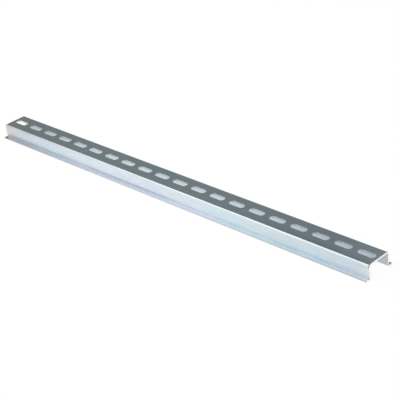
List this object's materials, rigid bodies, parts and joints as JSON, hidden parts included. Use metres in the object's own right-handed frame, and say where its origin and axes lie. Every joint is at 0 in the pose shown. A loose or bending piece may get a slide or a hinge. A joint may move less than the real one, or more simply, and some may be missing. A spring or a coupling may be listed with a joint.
{
  "type": "din rail",
  "caption": "Top-hat mounting rail folded from zinc-plated steel strip: flat web with a row of long slots, two legs and two outward lips that devices clip over.",
  "frame": {"origin": "middle of the footprint, on the plane of the lips' outer faces, where devices seat", "axes": "+X along the rail, +Y across it, +Z from the lips up to the web's outer face"},
  "size_m": [0.5, 0.035, 0.015],
  "materials": {
    "zinc_plated_steel": "satin"
  },
  "bodies": {
    "root": {"rail": "zinc_plated_steel"}
  },
  "joints": []
}
